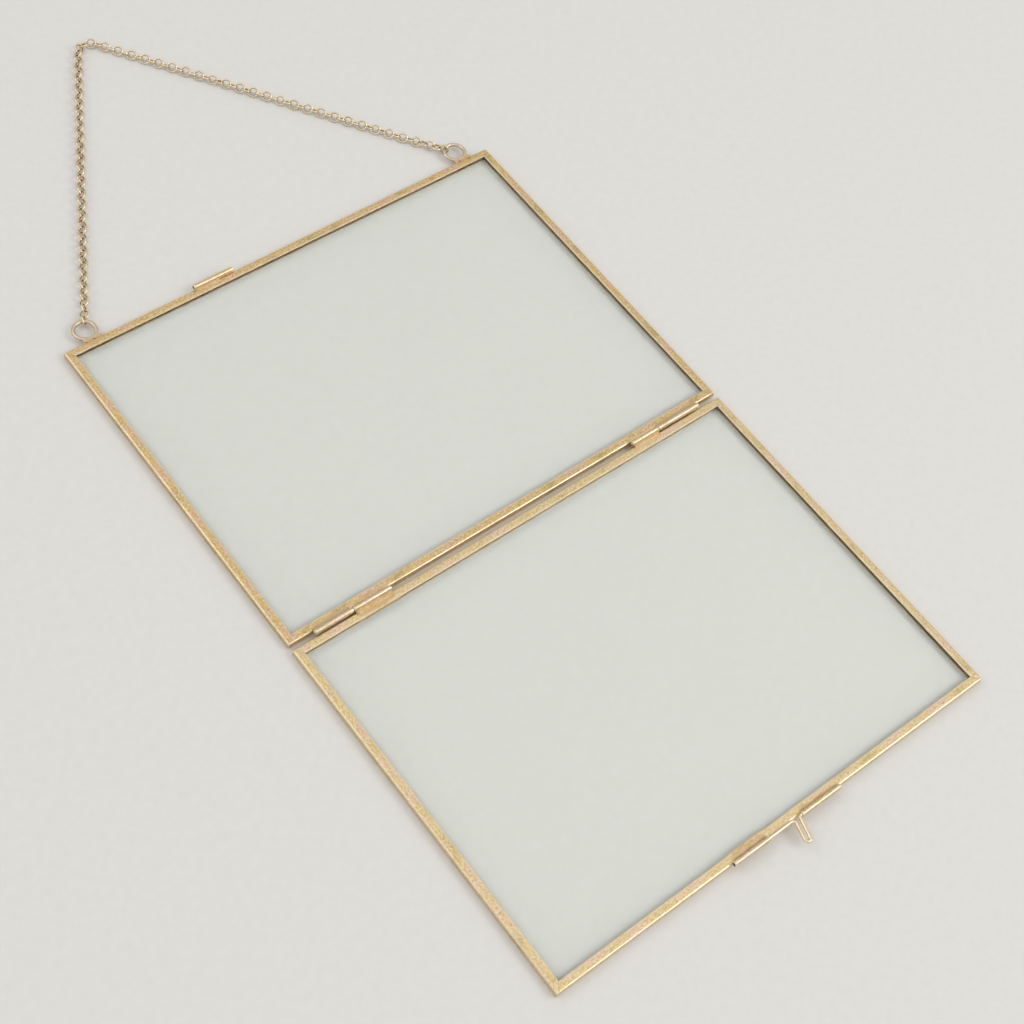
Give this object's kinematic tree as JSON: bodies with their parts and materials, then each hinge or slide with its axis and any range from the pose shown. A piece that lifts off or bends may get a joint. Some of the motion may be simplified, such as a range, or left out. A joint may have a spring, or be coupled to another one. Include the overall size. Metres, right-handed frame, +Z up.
{
  "type": "glass picture frame",
  "caption": "Hinged double glass picture frame in folded brass channel, shown open and flat, with a sliding barrel bolt on the free edge and a hanging chain on wire eyes.",
  "frame": {"origin": "on the surface that the open frame lies on, in the middle of its box without the chain", "axes": "+X along the hinge line to the right, +Y towards the chain, +Z up out of the glass"},
  "size_m": [0.184, 0.4082, 0.0047],
  "materials": {
    "brass": "satin, lightly tarnished",
    "pale_brass": "drawn wire, dull",
    "glass": "clear, polished"
  },
  "bodies": {
    "back_leaf": {"back_hinge_rail": "brass", "back_top_rail": "brass", "back_left_rail": "brass", "back_right_rail": "brass", "back_glass": "glass", "left_back_knuckle": "brass", "right_back_knuckle": "brass", "left_hinge_pin": "pale_brass", "right_hinge_pin": "pale_brass", "keeper_tube": "brass", "left_eye": "pale_brass", "right_eye": "pale_brass", "left_end_link": "pale_brass", "left_chain_strand": "pale_brass", "apex_link": "pale_brass", "right_chain_strand": "pale_brass", "right_end_link": "pale_brass"},
    "front_leaf": {"front_hinge_rail": "brass", "front_free_rail": "brass", "front_left_rail": "brass", "front_right_rail": "brass", "front_glass": "glass", "left_front_knuckle": "brass", "right_front_knuckle": "brass", "left_guide_tube": "brass", "right_guide_tube": "brass"},
    "bolt": {"slide_bolt": "pale_brass"}
  },
  "joints": [
    {"name": "leaf_hinge", "type": "hinge", "parent": "back_leaf", "child": "front_leaf", "pos_m": [0, -0.00034, 0.00375], "axis": [-1, 0, 0], "range_deg": [-30, 180]},
    {"name": "bolt_slide", "type": "slide", "parent": "front_leaf", "child": "bolt", "axis": [-1, 0, 0], "range_m": [0, 0.0096]}
  ]
}
